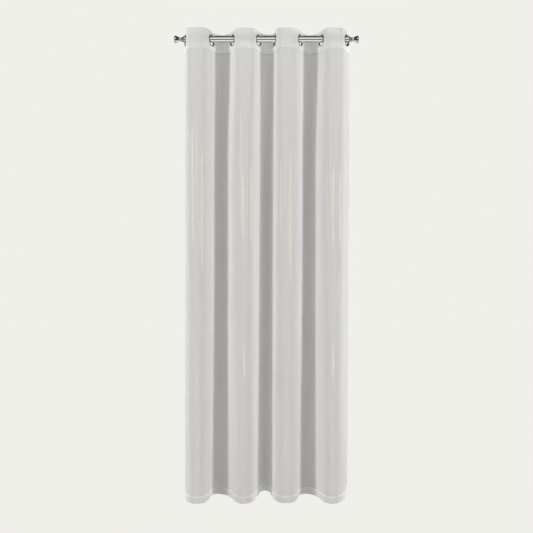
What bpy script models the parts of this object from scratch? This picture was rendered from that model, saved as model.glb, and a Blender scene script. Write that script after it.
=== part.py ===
"""Sheer voile curtain with eight eyelets, hanging in folds from a plain round rod.

Frame: metres, +Z up, the room side towards -Y, origin on the rod's axis at the middle of the rod.
"""
import math
from collections import namedtuple

import bmesh
import bpy
from mathutils import Matrix, Vector

# Clearances
GAP = 0.0003              # between pieces that touch on the real curtain

# Rod and finials
ROD_RADIUS = 0.0165
ROD_WALL = 0.0012
ROD_HALF_LENGTH = 0.436   # the finials start here
ROD_SEGMENTS = 28
FINIAL_LENGTH = 0.0545
FINIAL_SPIGOT = 0.022     # length plugged into the tube
FINIAL_TIP_RADIUS = 0.002 # the flat at the middle of the domed end

# Eyelets
RING_OUTER = 0.031
RING_INNER = 0.024
SLEEVE_WALL = 0.0012
LIP_HEIGHT = 0.0034
RING_SEGMENTS = 20

# Cloth
HEADING_THICKNESS = 0.0024
PANEL_THICKNESS = 0.0012
HEM_THICKNESS = 0.0020
HEADING_TOP = 0.043       # above the rod's axis
HEADING_HEIGHT = 0.105
DROP = 2.500              # from the heading's top edge to the hem's bottom edge
BOTTOM_HEM = 0.040
SIDE_HEM = 0.015
HEM_STEP = 0.001          # run over which the cloth thickens into a hem

HEADING_BOTTOM = HEADING_TOP - HEADING_HEIGHT
PANEL_TOP = HEADING_BOTTOM - GAP
PANEL_BOTTOM = HEADING_TOP - DROP

# The folds seen from above, at the heading, at the waist and at the hem. A crest is where the cloth turns,
# at the front or the back of a fold. A flank is the middle of the run between two crests, and each one
# carries an eyelet in the heading. x and y are metres, and turn is the cloth's direction from left to
# right, in degrees from +X.
Place = namedtuple("Place", "x y turn")
Fold = namedtuple("Fold", "name kind heading waist hem")
FOLDS = [
    Fold("left_edge", "edge", Place(-0.446, 0.090, -84), Place(-0.446, 0.084, -82), Place(-0.444, 0.072, -80)),
    Fold("eyelet_1", "flank", Place(-0.429, 0.000, -78), Place(-0.431, 0.000, -76), Place(-0.436, 0.000, -72)),
    Fold("front_1", "crest", Place(-0.357, -0.061, 0), Place(-0.362, -0.060, 0), Place(-0.370, -0.061, 0)),
    Fold("eyelet_2", "flank", Place(-0.293, 0.000, 66), Place(-0.297, 0.000, 69), Place(-0.308, 0.000, 77)),
    Fold("back_1", "crest", Place(-0.246, 0.058, 0), Place(-0.254, 0.057, 0), Place(-0.268, 0.053, -6)),
    Fold("eyelet_3", "flank", Place(-0.180, 0.000, -63), Place(-0.191, 0.000, -63), Place(-0.187, 0.000, -57)),
    Fold("front_2", "crest", Place(-0.102, -0.051, 0), Place(-0.110, -0.052, 0), Place(-0.121, -0.053, 0)),
    Fold("eyelet_4", "flank", Place(-0.043, 0.000, 61), Place(-0.055, 0.000, 63), Place(-0.057, 0.018, 73)),
    Fold("back_2", "crest", Place(0.019, 0.053, 0), Place(0.004, 0.063, 0), Place(-0.010, 0.092, 0)),
    Fold("eyelet_5", "flank", Place(0.046, 0.000, -77), Place(0.043, 0.004, -76), Place(0.031, 0.020, -77)),
    Fold("front_3", "crest", Place(0.108, -0.055, 0), Place(0.108, -0.054, 0), Place(0.108, -0.053, 0)),
    Fold("eyelet_6", "flank", Place(0.179, 0.000, 63), Place(0.176, 0.000, 64), Place(0.166, 0.000, 72)),
    Fold("back_3", "crest", Place(0.240, 0.057, 0), Place(0.228, 0.057, 0), Place(0.212, 0.053, -4)),
    Fold("eyelet_7", "flank", Place(0.292, 0.000, -66), Place(0.279, 0.000, -65), Place(0.286, 0.000, -60)),
    Fold("front_4", "crest", Place(0.362, -0.053, 0), Place(0.354, -0.053, 0), Place(0.345, -0.052, 0)),
    Fold("eyelet_8", "flank", Place(0.425, 0.000, 61), Place(0.422, 0.000, 62), Place(0.411, 0.000, 60)),
    Fold("right_edge", "edge", Place(0.455, 0.090, 76), Place(0.453, 0.088, 74), Place(0.447, 0.088, 70)),
]
WAIST_Z = -0.670
FLAT_HALF = {"heading": 0.033, "waist": 0.020, "hem": 0.010}   # straight run each side of a flank's middle
CREST_STEPS = 3                                                # faces from a flank's straight run to a crest

# Heights of the panel's rows of points, top to bottom
PANEL_ROWS = [PANEL_TOP, -0.130, -0.230, -0.360, -0.520, WAIST_Z, -0.950, -1.250, -1.550, -1.850, -2.150,
              PANEL_BOTTOM + BOTTOM_HEM + HEM_STEP, PANEL_BOTTOM + BOTTOM_HEM, PANEL_BOTTOM]

# A turned outline is a list of places along its axis, with the radius there.
Turned = namedtuple("Turned", "along radius")

# Finial, from the rod's end outwards: a waisted neck that flares to a domed end
FINIAL_OUTLINE = [
    Turned(0.0003, 0.0165), Turned(0.0040, 0.0158), Turned(0.0100, 0.0132), Turned(0.0160, 0.0117),
    Turned(0.0230, 0.0110), Turned(0.0290, 0.0116), Turned(0.0350, 0.0136), Turned(0.0400, 0.0164),
    Turned(0.0440, 0.0186), Turned(0.0470, 0.0195), Turned(0.0500, 0.0193), Turned(0.0525, 0.0165),
    Turned(0.0540, 0.0090),
]


def clear_scene():
    for item in list(bpy.data.objects):
        bpy.data.objects.remove(item, do_unlink=True)


def make_material(name, colour, roughness, metallic=0.0):
    material = bpy.data.materials.new(name)
    material.use_nodes = True
    shader = material.node_tree.nodes["Principled BSDF"]
    shader.inputs["Base Color"].default_value = (*colour, 1.0)
    shader.inputs["Roughness"].default_value = roughness
    shader.inputs["Metallic"].default_value = metallic
    material.diffuse_color = (*colour, 1.0)
    return material


def add_object(name, mesh, material):
    mesh.materials.append(material)
    item = bpy.data.objects.new(name, mesh)
    bpy.context.scene.collection.objects.link(item)
    return item


def mesh_from(bm, name):
    bmesh.ops.recalc_face_normals(bm, faces=bm.faces)
    mesh = bpy.data.meshes.new(name)
    bm.to_mesh(mesh)
    bm.free()
    return mesh


# Folds: the cloth's line seen from above, at any height

def levels_at(z):
    """The two levels of the fold table that height z lies between, and how far it is past the upper one."""
    if z >= WAIST_Z:
        t = min(max((HEADING_BOTTOM - z) / (HEADING_BOTTOM - WAIST_Z), 0.0), 1.0)
        return "heading", "waist", t * t * (3.0 - 2.0 * t)
    return "waist", "hem", (WAIST_Z - z) / (WAIST_Z - PANEL_BOTTOM)


def place_at(fold, z):
    """Where a fold's crest or flank lies at height z."""
    upper, lower, t = levels_at(z)
    return Place(*(a + (b - a) * t for a, b in zip(getattr(fold, upper), getattr(fold, lower))))


def flat_half_at(z):
    upper, lower, t = levels_at(z)
    return FLAT_HALF[upper] + (FLAT_HALF[lower] - FLAT_HALF[upper]) * t


def direction(turn):
    return Vector((math.cos(math.radians(turn)), math.sin(math.radians(turn))))


def arc_points(start, start_turn, end, end_turn, steps):
    """Points after start, up to end, on a curve that leaves and arrives in the given directions.
    Its handles make it a circle's arc wherever the two ends allow one."""
    chord = (end - start).length
    bend = max(abs(math.radians(end_turn - start_turn)), 0.01)
    handle = chord * (2.0 / 3.0) * math.tan(bend / 4.0) / math.sin(bend / 2.0)
    first = start + direction(start_turn) * handle
    second = end - direction(end_turn) * handle
    points = []
    for step in range(1, steps + 1):
        t = step / steps
        s = 1.0 - t
        points.append(start * s ** 3 + first * (3 * s * s * t) + second * (3 * s * t * t) + end * t ** 3)
    return points


def fold_line(z):
    """The cloth's middle line at height z, as points from the left edge to the right edge."""
    flat_half = flat_half_at(z)
    place = place_at(FOLDS[0], z)
    points = [Vector((place.x, place.y))]
    last_turn = place.turn
    for fold in FOLDS[1:]:
        place = place_at(fold, z)
        middle = Vector((place.x, place.y))
        if fold.kind == "flank":
            run = direction(place.turn) * flat_half
            points += arc_points(points[-1], last_turn, middle - run, place.turn, CREST_STEPS)
            points.append(middle + run)
        else:
            points += arc_points(points[-1], last_turn, middle, place.turn, CREST_STEPS)
        last_turn = place.turn
    return points


def add_side_hem_columns(points):
    """Puts two more points near each side edge, where the side hem's step is."""
    def step_points(edge, towards):
        inward = (towards - edge).normalized()
        return [edge + inward * SIDE_HEM, edge + inward * (SIDE_HEM + HEM_STEP)]
    left = step_points(points[0], points[1])
    right = step_points(points[-1], points[-2])
    return points[:1] + left + points[1:-1] + right[::-1] + points[-1:]


def side_normals(points):
    """The direction square to the line at each point, towards the room on a front crest."""
    normals = []
    for i in range(len(points)):
        before = points[max(i - 1, 0)]
        after = points[min(i + 1, len(points) - 1)]
        along = (after - before).normalized()
        normals.append(Vector((along.y, -along.x)))
    return normals


def add_sheet(name, rows, thickness_at, material):
    """A closed sheet between a front and a back skin. rows is a list of (z, points), and
    thickness_at(row, column, columns) gives the cloth's thickness there."""
    bm = bmesh.new()
    front, back = [], []
    for row, (z, points) in enumerate(rows):
        normals = side_normals(points)
        front_row, back_row = [], []
        for column, (point, normal) in enumerate(zip(points, normals)):
            half = normal * (thickness_at(row, column, len(points)) / 2.0)
            front_row.append(bm.verts.new((point.x + half.x, point.y + half.y, z)))
            back_row.append(bm.verts.new((point.x - half.x, point.y - half.y, z)))
        front.append(front_row)
        back.append(back_row)
    last_row = len(rows) - 1
    last_column = len(front[0]) - 1
    for i in range(last_row):
        for j in range(last_column):
            for skin in (front, back):
                bm.faces.new((skin[i][j], skin[i + 1][j], skin[i + 1][j + 1], skin[i][j + 1]))
    for j in range(last_column):
        for i in (0, last_row):
            bm.faces.new((front[i][j], front[i][j + 1], back[i][j + 1], back[i][j]))
    for i in range(last_row):
        for j in (0, last_column):
            bm.faces.new((front[i][j], front[i + 1][j], back[i + 1][j], back[i][j]))
    mesh = mesh_from(bm, name)
    mesh.shade_smooth()
    mesh.set_sharp_from_angle(angle=math.radians(40))
    return add_object(name, mesh, material)


# Eyelets

SEAT = HEADING_THICKNESS / 2.0 + GAP      # from the cloth's middle to a ring's flat face
SLEEVE_OUTER = RING_INNER + SLEEVE_WALL
SLEEVE_END = SEAT + LIP_HEIGHT * 0.7


def front_ring_profile():
    """Front half: a domed lip, and the sleeve that goes through the cloth."""
    return [
        Turned(SEAT, RING_OUTER),
        Turned(SEAT + LIP_HEIGHT * 0.45, RING_OUTER),
        Turned(SEAT + LIP_HEIGHT * 0.90, RING_OUTER - 0.0018),
        Turned(SEAT + LIP_HEIGHT, RING_OUTER - 0.0038),
        Turned(SEAT + LIP_HEIGHT * 0.80, RING_INNER + 0.0008),
        Turned(SEAT + LIP_HEIGHT * 0.35, RING_INNER),
        Turned(-SLEEVE_END, RING_INNER),
        Turned(-SLEEVE_END, SLEEVE_OUTER),
        Turned(SEAT, SLEEVE_OUTER),
    ]


def back_ring_profile():
    """Back half: a domed ring that snaps over the sleeve."""
    return [
        Turned(-SEAT, SLEEVE_OUTER + GAP),
        Turned(-SEAT - LIP_HEIGHT * 0.80, SLEEVE_OUTER + GAP),
        Turned(-SEAT - LIP_HEIGHT, RING_OUTER - 0.0034),
        Turned(-SEAT - LIP_HEIGHT * 0.85, RING_OUTER - 0.0016),
        Turned(-SEAT - LIP_HEIGHT * 0.40, RING_OUTER),
        Turned(-SEAT, RING_OUTER),
    ]


def turned_mesh(name, profile, segments, closed):
    """Turns a profile about the local X axis. An open profile gets a flat disc at each end."""
    bm = bmesh.new()
    rings = []
    for point in profile:
        ring = []
        for i in range(segments):
            angle = 2.0 * math.pi * i / segments
            across = point.radius * math.cos(angle)
            up = point.radius * math.sin(angle)
            ring.append(bm.verts.new((point.along, across, up)))
        rings.append(ring)
    pairs = list(zip(rings, rings[1:]))
    if closed:
        pairs.append((rings[-1], rings[0]))
    for a, b in pairs:
        for i in range(segments):
            j = (i + 1) % segments
            bm.faces.new((a[i], a[j], b[j], b[i]))
    if not closed:
        bm.faces.new(rings[0])
        bm.faces.new(rings[-1])
    mesh = mesh_from(bm, name)
    mesh.shade_smooth()
    mesh.set_sharp_from_angle(angle=math.radians(40))
    return mesh


def hang_drop():
    """How far the rings' centres hang below the rod's axis: as low as the most tilted ring allows
    with the holes' upper edges just clear of the rod."""
    tilts = [math.radians(90 - abs(fold.heading.turn)) for fold in FOLDS if fold.kind == "flank"]
    facet = math.cos(math.pi / RING_SEGMENTS)
    inner_edge = [point for point in front_ring_profile() if point.radius < SLEEVE_OUTER]
    drop = RING_INNER - ROD_RADIUS
    step = 0.0001

    def nearest(drop):
        distances = []
        for tilt in tilts:
            for point in inner_edge:
                for degree in range(0, 181, 3):
                    angle = math.radians(degree)
                    radius = point.radius * facet
                    across = point.along * math.sin(tilt) + radius * math.cos(angle) * math.cos(tilt)
                    distances.append(math.hypot(across, radius * math.sin(angle) - drop))
        return min(distances)

    while nearest(drop) < ROD_RADIUS + GAP:
        drop -= step
    return drop


def eyelet_matrix(fold, centre_z):
    """The local X axis is the ring's axis, and points out of the cloth's room side."""
    along = direction(fold.heading.turn)
    axis = Vector((along.y, -along.x, 0.0))
    sideways = Vector((along.x, along.y, 0.0))
    facing = Matrix((axis, sideways, Vector((0.0, 0.0, 1.0)))).transposed().to_4x4()
    return Matrix.Translation((fold.heading.x, fold.heading.y, centre_z)) @ facing


def add_eyelets(centre_z, chrome):
    front = turned_mesh("eyelet_front", front_ring_profile(), RING_SEGMENTS, closed=True)
    back = turned_mesh("eyelet_back", back_ring_profile(), RING_SEGMENTS, closed=True)
    front.materials.append(chrome)
    back.materials.append(chrome)
    for fold in FOLDS:
        if fold.kind != "flank":
            continue
        for side, mesh in (("front", front), ("back", back)):
            item = bpy.data.objects.new(f"{fold.name}_{side}", mesh)
            bpy.context.scene.collection.objects.link(item)
            item.matrix_world = eyelet_matrix(fold, centre_z)


# Cloth pieces

def add_heading(centre_z, material):
    line = fold_line(HEADING_BOTTOM)
    rows = [(HEADING_TOP, line), (HEADING_BOTTOM, line)]
    heading = add_sheet("heading", rows, lambda row, column, columns: HEADING_THICKNESS, material)
    reach = HEADING_THICKNESS * 2.0
    profile = [Turned(-reach, SLEEVE_OUTER + GAP), Turned(reach, SLEEVE_OUTER + GAP)]
    cutter_mesh = turned_mesh("eyelet_hole", profile, RING_SEGMENTS, closed=False)
    for fold in FOLDS:
        if fold.kind != "flank":
            continue
        cutter = bpy.data.objects.new(f"hole_{fold.name}", cutter_mesh)
        bpy.context.scene.collection.objects.link(cutter)
        cutter.matrix_world = eyelet_matrix(fold, centre_z)
        cutter.hide_render = True
        cutter.display_type = "WIRE"
        cut = heading.modifiers.new(f"hole_{fold.name}", "BOOLEAN")
        cut.operation = "DIFFERENCE"
        cut.object = cutter
    return heading


def add_panel(material):
    rows = [(z, add_side_hem_columns(fold_line(z))) for z in PANEL_ROWS]

    def thickness_at(row, column, columns):
        in_bottom_hem = row >= len(rows) - 2
        in_side_hem = column < 2 or column >= columns - 2
        return HEM_THICKNESS if in_bottom_hem or in_side_hem else PANEL_THICKNESS

    return add_sheet("voile_panel", rows, thickness_at, material)


# Rod and finials

def add_rod(chrome):
    bore = ROD_RADIUS - ROD_WALL
    profile = [
        Turned(-ROD_HALF_LENGTH, ROD_RADIUS), Turned(ROD_HALF_LENGTH, ROD_RADIUS),
        Turned(ROD_HALF_LENGTH, bore), Turned(-ROD_HALF_LENGTH, bore),
    ]
    return add_object("rod", turned_mesh("rod", profile, ROD_SEGMENTS, closed=True), chrome)


def add_finial(name, side, chrome):
    """side is 1 at the right end and -1 at the left end."""
    spigot = ROD_RADIUS - ROD_WALL - GAP
    outline = [Turned(-FINIAL_SPIGOT, spigot), Turned(GAP, spigot)]
    outline += FINIAL_OUTLINE
    outline.append(Turned(FINIAL_LENGTH, FINIAL_TIP_RADIUS))
    mesh = turned_mesh(name, outline, ROD_SEGMENTS, closed=False)
    finial = add_object(name, mesh, chrome)
    facing = Matrix.Rotation(0.0 if side > 0 else math.pi, 4, "Z")
    finial.matrix_world = Matrix.Translation((side * ROD_HALF_LENGTH, 0.0, 0.0)) @ facing
    return finial


def main():
    clear_scene()
    voile = make_material("voile", (0.78, 0.77, 0.75), 0.85)
    stiff_voile = make_material("stiffened_voile", (0.84, 0.83, 0.80), 0.80)
    chrome = make_material("polished_chrome", (0.80, 0.80, 0.79), 0.12, metallic=1.0)
    centre_z = -hang_drop()
    add_panel(voile)
    add_heading(centre_z, stiff_voile)
    add_eyelets(centre_z, chrome)
    add_rod(chrome)
    add_finial("finial_left", -1, chrome)
    add_finial("finial_right", 1, chrome)


main()
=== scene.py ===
"""Sheer voile curtain on its rod: fine cloth, hems, stitching, eyelets, rod and a plain pale studio.

Metres, +Z up, the room side towards -Y, origin on the rod's axis at the middle of the rod.
"""
import math
from collections import namedtuple

import bmesh
import bpy
import numpy as np
from mathutils import Matrix, Vector


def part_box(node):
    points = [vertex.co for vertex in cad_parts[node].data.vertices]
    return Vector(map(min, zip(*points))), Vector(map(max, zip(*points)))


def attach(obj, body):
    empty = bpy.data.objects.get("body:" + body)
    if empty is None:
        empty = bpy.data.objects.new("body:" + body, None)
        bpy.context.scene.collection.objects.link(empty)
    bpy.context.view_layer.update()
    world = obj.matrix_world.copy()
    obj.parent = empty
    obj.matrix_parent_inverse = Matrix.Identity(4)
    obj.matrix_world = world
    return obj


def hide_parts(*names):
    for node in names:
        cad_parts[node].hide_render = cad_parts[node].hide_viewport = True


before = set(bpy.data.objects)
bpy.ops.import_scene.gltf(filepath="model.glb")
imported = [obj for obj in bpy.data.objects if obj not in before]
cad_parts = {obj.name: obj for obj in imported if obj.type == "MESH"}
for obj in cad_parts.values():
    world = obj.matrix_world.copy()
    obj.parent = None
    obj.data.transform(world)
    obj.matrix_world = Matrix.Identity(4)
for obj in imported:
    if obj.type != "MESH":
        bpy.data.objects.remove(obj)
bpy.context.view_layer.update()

# Sizes read from the frame
rod_low, rod_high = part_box("rod")
heading_low, heading_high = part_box("heading")
panel_low, panel_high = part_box("voile_panel")
ring_low, ring_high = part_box("eyelet_1_front")
ROD_RADIUS = rod_high.z
ROD_HALF_LENGTH = rod_high.x
HEADING_TOP = heading_high.z
HEADING_BOTTOM = heading_low.z
PANEL_BOTTOM = panel_low.z
RING_OUTER = (ring_high.z - ring_low.z) / 2.0
RING_CENTRE_Z = (ring_high.z + ring_low.z) / 2.0

# Eyelets
RING_INNER = 0.024
SLEEVE_WALL = 0.0012
LIP_HEIGHT = 0.0034
HOLE_RADIUS = RING_INNER + SLEEVE_WALL + 0.0003
HEADING_THICKNESS = 0.0024
SEAT = HEADING_THICKNESS / 2.0 + 0.0003      # from the cloth's middle to a ring's flat face

# Hems, each turned to the back with its raw edge tucked in
BOTTOM_HEM = 0.040
SIDE_HEM = 0.015
TUCK = 0.008
SIDE_LAYER = 0.0005       # spacing of the side hem's layers
BOTTOM_LAYER = 0.0007     # spacing of the bottom hem's layers
SEAM_OVERLAP = 0.004      # how far the voile reaches up inside the heading

# The folds seen from above, at the heading, at the waist and at the hem. A crest is where the cloth turns,
# at the front or the back of a fold. A flank is the middle of the run between two crests, and each one
# carries an eyelet in the heading. x and y are metres, and turn is the cloth's direction from left to
# right, in degrees from +X.
Place = namedtuple("Place", "x y turn")
Fold = namedtuple("Fold", "name kind heading waist hem")
FOLDS = [
    Fold("left_edge", "edge", Place(-0.446, 0.090, -84), Place(-0.446, 0.084, -82),
         Place(-0.444, 0.072, -80)),
    Fold("eyelet_1", "flank", Place(-0.429, 0.000, -78), Place(-0.431, 0.000, -76),
         Place(-0.436, 0.000, -72)),
    Fold("front_1", "crest", Place(-0.357, -0.061, 0), Place(-0.362, -0.060, 0), Place(-0.370, -0.061, 0)),
    Fold("eyelet_2", "flank", Place(-0.293, 0.000, 66), Place(-0.297, 0.000, 69), Place(-0.308, 0.000, 77)),
    Fold("back_1", "crest", Place(-0.246, 0.058, 0), Place(-0.254, 0.057, 0), Place(-0.268, 0.053, -6)),
    Fold("eyelet_3", "flank", Place(-0.180, 0.000, -63), Place(-0.191, 0.000, -63),
         Place(-0.187, 0.000, -57)),
    Fold("front_2", "crest", Place(-0.102, -0.051, 0), Place(-0.110, -0.052, 0), Place(-0.121, -0.053, 0)),
    Fold("eyelet_4", "flank", Place(-0.043, 0.000, 61), Place(-0.055, 0.000, 63), Place(-0.057, 0.018, 73)),
    Fold("back_2", "crest", Place(0.019, 0.053, 0), Place(0.004, 0.063, 0), Place(-0.010, 0.092, 0)),
    Fold("eyelet_5", "flank", Place(0.046, 0.000, -77), Place(0.043, 0.004, -76), Place(0.031, 0.020, -77)),
    Fold("front_3", "crest", Place(0.108, -0.055, 0), Place(0.108, -0.054, 0), Place(0.108, -0.053, 0)),
    Fold("eyelet_6", "flank", Place(0.179, 0.000, 63), Place(0.176, 0.000, 64), Place(0.166, 0.000, 72)),
    Fold("back_3", "crest", Place(0.240, 0.057, 0), Place(0.228, 0.057, 0), Place(0.212, 0.053, -4)),
    Fold("eyelet_7", "flank", Place(0.292, 0.000, -66), Place(0.279, 0.000, -65), Place(0.286, 0.000, -60)),
    Fold("front_4", "crest", Place(0.362, -0.053, 0), Place(0.354, -0.053, 0), Place(0.345, -0.052, 0)),
    Fold("eyelet_8", "flank", Place(0.425, 0.000, 61), Place(0.422, 0.000, 62), Place(0.411, 0.000, 60)),
    Fold("right_edge", "edge", Place(0.455, 0.090, 76), Place(0.453, 0.088, 74), Place(0.447, 0.088, 70)),
]
WAIST_Z = -0.670
FLAT_HALF = {"heading": 0.033, "waist": 0.020, "hem": 0.010}   # straight run each side of a flank's middle

# Soft creases: where they start and end along the cloth beside a fold's middle, their heights, how wide
# they are, and how far they stand out towards the room (below zero, a trough).
Crease = namedtuple("Crease", "fold start end top bottom width height")
CREASES = [
    Crease("front_1", -0.026, -0.022, -0.30, -1.30, 0.0050, 0.0007),
    Crease("front_1", 0.012, 0.018, -0.20, -0.95, 0.0060, -0.0006),
    Crease("front_1", -0.004, 0.022, -1.55, -2.42, 0.0090, 0.0013),
    Crease("front_1", -0.030, -0.012, -1.85, -2.40, 0.0080, -0.0011),
    Crease("eyelet_2", 0.006, -0.004, -0.10, -1.10, 0.0100, 0.0010),
    Crease("back_1", -0.012, -0.004, -0.25, -1.70, 0.0060, 0.0010),
    Crease("back_1", 0.014, 0.008, -0.12, -1.20, 0.0070, -0.0012),
    Crease("eyelet_3", 0.010, 0.024, -0.55, -1.60, 0.0090, 0.0014),
    Crease("front_2", -0.040, -0.020, -0.45, -1.45, 0.0070, -0.0010),
    Crease("front_2", -0.008, -0.002, -0.35, -1.20, 0.0045, 0.0006),
    Crease("front_2", 0.020, 0.016, -0.25, -1.55, 0.0060, 0.0007),
    Crease("front_2", -0.024, -0.006, -1.70, -2.42, 0.0090, 0.0012),
    Crease("eyelet_4", -0.010, 0.002, -0.15, -1.30, 0.0090, -0.0009),
    Crease("eyelet_4", 0.034, 0.030, -0.20, -2.60, 0.0240, 0.0080),
    Crease("back_2", -0.016, -0.010, -0.20, -2.10, 0.0080, 0.0012),
    Crease("back_2", 0.012, 0.016, -0.90, -2.30, 0.0060, -0.0010),
    Crease("eyelet_5", 0.004, -0.006, -0.60, -1.90, 0.0090, 0.0008),
    Crease("front_3", -0.024, -0.028, -0.35, -1.40, 0.0050, 0.0007),
    Crease("front_3", 0.010, 0.016, -0.22, -1.05, 0.0060, -0.0006),
    Crease("front_3", 0.000, 0.024, -1.60, -2.42, 0.0085, 0.0012),
    Crease("front_3", -0.028, -0.010, -1.80, -2.38, 0.0080, -0.0010),
    Crease("eyelet_6", 0.008, -0.004, -0.12, -1.15, 0.0100, 0.0009),
    Crease("back_3", -0.010, -0.006, -0.30, -1.80, 0.0060, 0.0010),
    Crease("back_3", 0.016, 0.010, -0.10, -1.25, 0.0070, -0.0012),
    Crease("eyelet_7", 0.008, 0.022, -0.60, -1.55, 0.0090, 0.0013),
    Crease("front_4", -0.036, -0.018, -0.50, -1.50, 0.0070, -0.0009),
    Crease("front_4", -0.006, -0.004, -0.40, -1.25, 0.0045, 0.0006),
    Crease("front_4", 0.022, 0.014, -0.30, -1.60, 0.0060, 0.0007),
    Crease("front_4", -0.020, -0.004, -1.75, -2.42, 0.0090, 0.0011),
    Crease("eyelet_8", -0.008, 0.004, -0.20, -1.40, 0.0090, -0.0008),
]

# Folds that lean out towards the hem: how wide that is along the cloth, how far, and where it starts
Lean = namedtuple("Lean", "fold width height top")
LEANS = [
    Lean("front_1", 0.060, 0.006, -1.20), Lean("front_2", 0.060, 0.013, -1.20),
    Lean("front_3", 0.060, 0.006, -1.20), Lean("front_4", 0.060, 0.013, -1.20),
    Lean("eyelet_8", 0.040, 0.012, -1.70),
]

# Ripples that a seam draws into the cloth: their length along the cloth, their height and where they start
Ripple = namedtuple("Ripple", "length height phase")
HEADING_RIPPLES = [Ripple(0.023, 0.00022, 0.4), Ripple(0.037, 0.00034, 2.1), Ripple(0.061, 0.00045, 4.0)]
HEM_RIPPLES = [Ripple(0.031, 0.00022, 1.1), Ripple(0.047, 0.00035, 3.3), Ripple(0.083, 0.00060, 5.2)]
HEADING_RIPPLE_REACH = 0.055
HEM_RIPPLE_REACH = 0.120

# Painted glints: highlights where the yarn catches the light on the front folds, painted into the cloth's
# colour: x, top and bottom height, half width, strength
PaintedGlint = namedtuple("PaintedGlint", "x top bottom width strength")
PAINTED_GLINTS = [
    PaintedGlint(-0.3880, -0.500, -1.060, 0.0030, 0.90), PaintedGlint(-0.3665, -0.420, -0.900, 0.0025, 0.35),
    PaintedGlint(-0.3380, -0.600, -1.230, 0.0030, 0.85), PaintedGlint(-0.3470, -0.760, -1.120, 0.0020, 0.40),
    PaintedGlint(-0.1340, -0.380, -0.980, 0.0030, 0.45), PaintedGlint(-0.1230, -0.700, -1.060, 0.0032, 0.90),
    PaintedGlint(-0.1050, -0.560, -0.940, 0.0020, 0.35), PaintedGlint(-0.0810, -0.700, -1.080, 0.0030, 0.85),
    PaintedGlint(-0.0870, -1.260, -1.400, 0.0024, 0.50), PaintedGlint(-0.1180, -1.620, -1.780, 0.0034, 0.80),
    PaintedGlint(0.0760, -0.640, -1.040, 0.0030, 0.80), PaintedGlint(0.1000, -0.450, -0.880, 0.0022, 0.35),
    PaintedGlint(0.1260, -0.620, -1.240, 0.0030, 0.85), PaintedGlint(0.1160, -0.800, -1.150, 0.0020, 0.40),
    PaintedGlint(0.3350, -0.420, -0.960, 0.0024, 0.40), PaintedGlint(0.3490, -0.700, -1.080, 0.0032, 0.95),
    PaintedGlint(0.3860, -0.700, -1.080, 0.0030, 0.85), PaintedGlint(0.3720, -0.560, -0.900, 0.0020, 0.35),
    PaintedGlint(0.3780, -1.220, -1.380, 0.0024, 0.45), PaintedGlint(0.3515, -1.620, -1.790, 0.0034, 0.85),
]
PAINTED_GLINT_SPREAD = 1.25       # how far a painted glint highlight reaches, in its half widths
PAINTED_GLINT_FRONT = -0.015      # painted glint highlights only show on cloth that stands nearer to the room than this

# Mesh steps
ARC_COLUMNS = 20
FLAT_COLUMNS = 8
ROW_STEP = 0.0135
FINE_ROW_STEP = 0.006
HEADING_ROWS = 28
HOLE_RINGS = 6
RING_SEGMENTS = 96
ROD_SEGMENTS = 128

# Stitches
STITCH_PITCH = 0.0046
STITCH_LENGTH = 0.0036
THREAD_RADIUS = 0.00022
STITCH_SECTIONS = 4
STITCH_SIDES = 4
PATH_STEPS = 16           # a stitched path's steps along each run of the line


# Folds: the cloth's line seen from above, at any height

def levels_at(z):
    """The two levels of the fold table that height z lies between, and how far it is past the upper one."""
    if z >= WAIST_Z:
        t = min(max((HEADING_BOTTOM - z) / (HEADING_BOTTOM - WAIST_Z), 0.0), 1.0)
        return "heading", "waist", t * t * (3.0 - 2.0 * t)
    return "waist", "hem", (WAIST_Z - z) / (WAIST_Z - PANEL_BOTTOM)


def place_at(fold, z):
    upper, lower, t = levels_at(z)
    return Place(*(a + (b - a) * t for a, b in zip(getattr(fold, upper), getattr(fold, lower))))


def direction(turn):
    return np.array((math.cos(math.radians(turn)), math.sin(math.radians(turn))))


def curve_controls(start, start_turn, end, end_turn):
    """Four control points of a curve whose handles make it a circle's arc wherever its ends allow one."""
    chord = np.linalg.norm(end - start)
    bend = max(abs(math.radians(end_turn - start_turn)), 0.01)
    handle = chord * (2.0 / 3.0) * math.tan(bend / 4.0) / math.sin(bend / 2.0)
    return [start, start + direction(start_turn) * handle, end - direction(end_turn) * handle, end]


def runs_at(z):
    """The cloth's line at height z as curves: arcs by the crests, and a straight run at each flank."""
    upper, lower, t = levels_at(z)
    flat_half = FLAT_HALF[upper] + (FLAT_HALF[lower] - FLAT_HALF[upper]) * t
    place = place_at(FOLDS[0], z)
    last = np.array((place.x, place.y))
    last_turn = place.turn
    runs = []
    for fold in FOLDS[1:]:
        place = place_at(fold, z)
        middle = np.array((place.x, place.y))
        if fold.kind == "flank":
            run = direction(place.turn) * flat_half
            runs.append(curve_controls(last, last_turn, middle - run, place.turn))
            runs.append(curve_controls(middle - run, place.turn, middle + run, place.turn))
            last = middle + run
        else:
            runs.append(curve_controls(last, last_turn, middle, place.turn))
            last = middle
        last_turn = place.turn
    return np.array(runs)


RUN_KINDS = []
RUN_OF_FOLD = {}          # where a fold's middle lies: its run and how far along it
for fold in FOLDS[1:]:
    RUN_KINDS.append("arc")
    if fold.kind == "flank":
        RUN_KINDS.append("flat")
        RUN_OF_FOLD[fold.name] = (len(RUN_KINDS) - 1, 0.5)
    else:
        RUN_OF_FOLD[fold.name] = (len(RUN_KINDS) - 1, 1.0)


def line_at(z, run, t):
    """Places and room-side directions on the cloth's line at height z, for runs and shares along them."""
    controls = runs_at(z)[run]
    s = 1.0 - t
    weights = np.stack([s ** 3, 3 * s * s * t, 3 * s * t * t, t ** 3], axis=1)
    slopes = np.stack([-3 * s * s, 3 * s * s - 6 * s * t, 6 * s * t - 3 * t * t, 3 * t * t], axis=1)
    place = np.einsum("nk,nkc->nc", weights, controls)
    along = np.einsum("nk,nkc->nc", slopes, controls)
    along /= np.linalg.norm(along, axis=1)[:, None]
    return place, np.stack([along[:, 1], -along[:, 0]], axis=1)


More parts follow.
